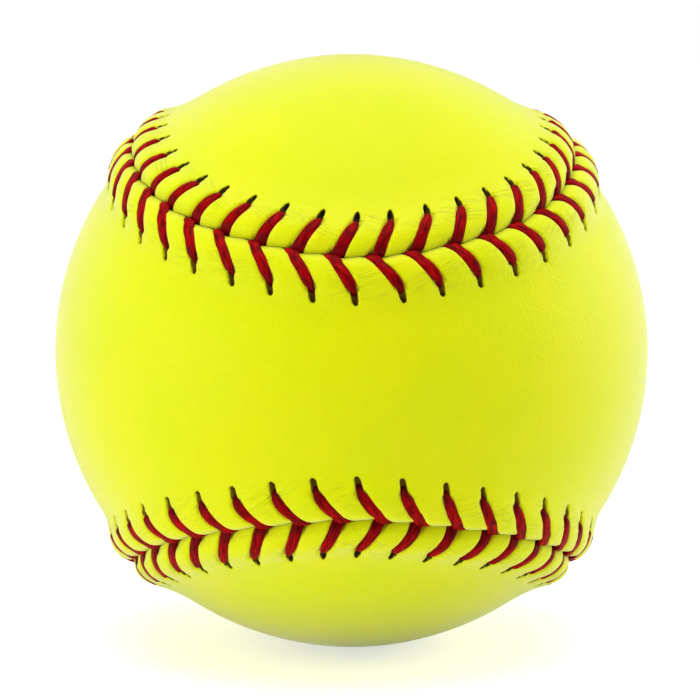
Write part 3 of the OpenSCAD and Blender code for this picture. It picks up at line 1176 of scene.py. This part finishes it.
@dataclass(frozen=True)
class WaxedThread:
    """Deep red waxed thread: twisted polyester strands, dyed through and bonded with wax.

    To the eye it is a dark red with a soft waxy gloss, streaked along its strands, and painted shade makes it
    nearly black where it goes down into a hole or the crease.
    """

    colour: str = "#a00206"
    bright: str = "#d4080e"  # strands that the wax has left bare
    dark: str = "#600208"  # wax in the grooves between them
    sunk_shade: str = "#420208"  # painted shade where the thread is drawn down into a hole or the crease
    streak_l: float = 4.0 * MM  # length of one streak
    fibre: float = 0.12 * MM  # size of the loose fibres
    roughness: float = 0.5

    def material(self) -> bpy.types.Material:
        """Builds the material.

        Returns:
            The material.
        """
        material, add, shader = new_material("red_waxed_thread")
        names = ("run", "turn", "sunk_shade")
        run, turn, sunk_shade = (add(ATTRIBUTE, attribute_name=name).outputs["Fac"] for name in names)
        place = add(COORDINATES).outputs["Object"]
        length = add("DIVIDE", run, self.streak_l)
        streaked = add("ShaderNodeCombineXYZ", length, add("COSINE", turn), add("SINE", turn))
        streaks = add(NOISE, Vector=streaked, Scale=2.2, Detail=3.0)
        fibre = add(NOISE, Vector=place, Scale=1 / self.fibre, Detail=2.0)
        shares = [add("RISE", streaks, low, low + 0.2) for low in (0.35, 0.55)]
        dyed = linear(self.dark)
        # Random streaks, then painted shade where the thread goes down into a hole or the crease
        for share, tint in zip([*shares, add("MULTIPLY", sunk_shade, 0.6)], (self.colour, self.bright, self.sunk_shade)):
            dyed = add("MIX", share, dyed, linear(tint))
        strand = add(BUMP, Height=streaks, Distance=0.08 * MM, Strength=0.6)
        look = {
            "Base Color": dyed,
            "Roughness": add("MULTIPLY_ADD", streaks, 0.2, self.roughness - 0.1),
            "Normal": add(BUMP, Height=fibre, Distance=0.02 * MM, Strength=0.5, Normal=strand),
            "IOR": 1.45,
            "Specular IOR Level": 0.05,
        }
        set_inputs(shader, **look)
        return material


@dataclass(frozen=True)
class FoamCore:
    """Moulded polyurethane foam: a dense, closed-cell foam with a dull tan skin.

    To the eye it is matt, faintly mottled and pitted with tiny open cells.
    """

    colour: str = "#d8c49c"
    dark: str = "#bca77c"  # its darker patches
    patch: float = 8.0 * MM  # size of such a patch
    cell: float = 0.6 * MM  # size of one cell

    def material(self) -> bpy.types.Material:
        """Builds the material.

        Returns:
            The material.
        """
        material, add, shader = new_material("moulded_polyurethane_foam")
        place = add(COORDINATES).outputs["Object"]
        patches = add(NOISE, Vector=place, Scale=1 / self.patch, Detail=4.0)
        cells = add("ShaderNodeTexVoronoi", Vector=place, Scale=1 / self.cell)
        look = {
            "Base Color": add("MIX", patches, linear(self.dark), linear(self.colour)),
            "Roughness": add("MULTIPLY_ADD", patches, 0.1, 0.8),
            "Normal": add(BUMP, Height=cells, Distance=0.1 * MM, Strength=0.6),
        }
        set_inputs(shader, **look)
        return material


@dataclass(frozen=True)
class StudioPaper:
    """White seamless studio paper: matt, and as white as the photograph's background to the camera."""

    colour: str = "#f8f8f6"
    fibre: float = 1.5 * MM  # size of the paper's fibres
    # How much light it adds for the camera and in reflections, so that only the shadow is below white
    glow: float = 0.58

    def material(self) -> bpy.types.Material:
        """Builds the material.

        Returns:
            The material.
        """
        material, add, shader = new_material("white_seamless_paper")
        place = add(COORDINATES).outputs["Object"]
        fibre = add(NOISE, Vector=place, Scale=1 / self.fibre, Detail=3.0)
        rays = add("ShaderNodeLightPath").outputs
        clear = add("MAXIMUM", rays["Is Glossy Ray"], rays["Is Transmission Ray"])
        seen = add("MAXIMUM", clear, rays["Is Camera Ray"])
        look = {
            "Base Color": add("MIX", add("MULTIPLY", fibre, 0.1), linear(self.colour), linear("#ffffff")),
            "Roughness": 0.95,
            "Emission Color": linear("#ffffff"),
            "Emission Strength": add("MULTIPLY", seen, self.glow),
        }
        set_inputs(shader, **look)
        return material


# The studio


def heading(azimuth: float, elevation: float) -> Vector:
    """Returns the unit vector at an azimuth, in degrees from -Y towards +X, and a height over the horizon."""
    turn, rise = math.radians(azimuth), math.radians(elevation)
    return Vector((math.sin(turn) * math.cos(rise), -math.cos(turn) * math.cos(rise), math.sin(rise)))


@dataclass(frozen=True)
class SoftBox:
    """A soft studio light with a flat, rectangular front."""

    name: str
    azimuth: float  # direction of the light from the ball, where 0 is the photograph's side and 90 is +X
    elevation: float  # height of the light over the horizon, in degrees
    distance: float  # from the ball's middle
    width: float
    height: float
    power: float  # in watts

    def build(self) -> None:
        """Makes the light, turned to the ball."""
        light = bpy.data.lights.new(self.name, "AREA")
        light.shape, light.size, light.size_y, light.energy = "RECTANGLE", self.width, self.height, self.power
        away = heading(self.azimuth, self.elevation)
        lamp = placed(self.name, light)
        lamp.location = away * self.distance
        lamp.rotation_euler = away.to_track_quat("Z", "Y").to_euler()


@dataclass(frozen=True)
class Studio:
    """The paper sweep under the ball, the soft light round it and the camera of the photograph."""

    floor_z: float
    floor_size: float = 6.0  # length of the floor's sides
    camera_distance: float = 0.485  # from the ball's middle
    camera_azimuth: float = -1.2  # in degrees from -Y towards +X
    camera_elevation: float = 7.45  # height over the horizon, in degrees
    camera_roll: float = 0.3  # tilt about its own axis, in degrees
    lens: float = 151.7  # focal length in millimetres
    sensor: float = 36.0  # width of the sensor in millimetres
    aim: tuple[float, float, float] = (-0.25 * MM, 0.0, 0.08 * MM)  # point that the camera looks at
    ambient: float = 0.5  # strength of the world's light on the ball
    front: float = 0.08  # share of that light from the dark side of the room, behind the camera
    front_span: Span = (-0.95, -0.2)  # where that side ends, by the direction's part along Y
    boxes: tuple[SoftBox, ...] = (
        SoftBox("strip_low_left", -60, 0, distance=0.5, width=0.35, height=0.09, power=0.74),
        SoftBox("softbox_right", 100, 10, distance=0.8, width=0.6, height=0.6, power=2.6),
        SoftBox("softbox_top", 0, 77, distance=0.8, width=0.7, height=0.7, power=4.85),
    )

    def build(self) -> None:
        """Makes the floor, the lights, the world and the camera."""
        self.floor()
        for box in self.boxes:
            box.build()
        self.world()
        self.camera()

    def floor(self) -> None:
        """Makes the paper under the ball, wide enough to fill the picture up to the white of the world."""
        half = self.floor_size / 2
        corners = [[x * half, y * half, self.floor_z] for x, y in ((-1, -1), (1, -1), (1, 1), (-1, 1))]
        paper = mesh_object("studio_paper", np.array(corners), np.array([[0, 1, 2, 3]]), {})
        paper.data.materials.append(StudioPaper().material())

    def world(self) -> None:
        """Makes the world: white to the camera and in reflections, and a plain soft light on the ball."""
        world = bpy.data.worlds.new("studio_white")
        world.use_nodes = True
        bpy.context.scene.world = world
        add = partial(add_node, world.node_tree)
        rays = add("ShaderNodeLightPath").outputs
        way = add(COORDINATES).outputs["Generated"]
        from_front = add("ShaderNodeSeparateXYZ", way).outputs["Y"]
        flag = add("RISE", from_front, *self.front_span, self.front, 1.0)
        clear = add("MAXIMUM", rays["Is Glossy Ray"], rays["Is Transmission Ray"])
        level = add("MULTIPLY", flag, add("MULTIPLY_ADD", clear, 1 - self.ambient, self.ambient))
        strength = add("MAXIMUM", level, rays["Is Camera Ray"])
        set_inputs(world.node_tree.nodes["Background"], Color=linear("#ffffff"), Strength=strength)

    def camera(self) -> None:
        """Makes the camera at the photograph's place."""
        lens = bpy.data.cameras.new("camera")
        lens.lens, lens.sensor_width = self.lens, self.sensor
        lens.clip_start, lens.clip_end = 0.01, 20.0
        camera = placed("camera", lens)
        camera.location = heading(self.camera_azimuth, self.camera_elevation) * self.camera_distance
        look = (Vector(self.aim) - camera.location).to_track_quat("-Z", "Y")
        camera.rotation_mode = "QUATERNION"
        camera.rotation_quaternion = look @ Quaternion((0, 0, 1), math.radians(self.camera_roll))
        bpy.context.scene.camera = camera


# The ball


@dataclass(frozen=True)
class Softball:
    """The whole ball: its core, its two cover panels and the two runs of its thread."""

    lacing: Lacing

    def build(self) -> None:
        """Makes each piece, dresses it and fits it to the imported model."""
        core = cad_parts["core"].data.materials
        core.clear()
        core.append(FoamCore().material())
        LOG.info("core: dressed")
        leather = SyntheticLeather()
        for side in Side:
            name = "cover_panel_" + side.name.lower()
            piece = CoverPanel(name + "_skin", side, self.lacing).build()
            piece.data.materials.append(leather.material(side))
            self.fit(piece, name)
        tree, waxed = thread_tree(), WaxedThread().material()
        for needle in Needle:
            name = "thread_" + needle.name.lower() + "_needle"
            self.fit(ThreadRun(name + "_laced", needle, self.lacing).build(tree, waxed), name)

    def fit(self, piece: bpy.types.Object, node: str) -> None:
        """Puts a piece in the place of its CAD node.

        Args:
            piece: The finished piece.
            node: CAD node that it stands for.
        """
        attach(piece, BODY)
        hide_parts(node)
        LOG.info("%s: %d faces", piece.name, len(piece.data.polygons))


def ball_radius() -> float:
    """Returns the radius of the smooth cover, which the back panel's two lobes reach at +Z and -Z."""
    low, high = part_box("cover_panel_back")
    return (high[2] - low[2]) / 2


def main() -> None:
    """Builds the ball and the studio."""
    logging.basicConfig(level=logging.INFO, format="%(name)s: %(message)s")
    bpy.context.scene.view_settings.view_transform = "Standard"
    radius = ball_radius()
    Softball(Lacing(Seam(radius))).build()
    Studio(floor_z=-radius).build()


if __name__ == "__main__":
    main()
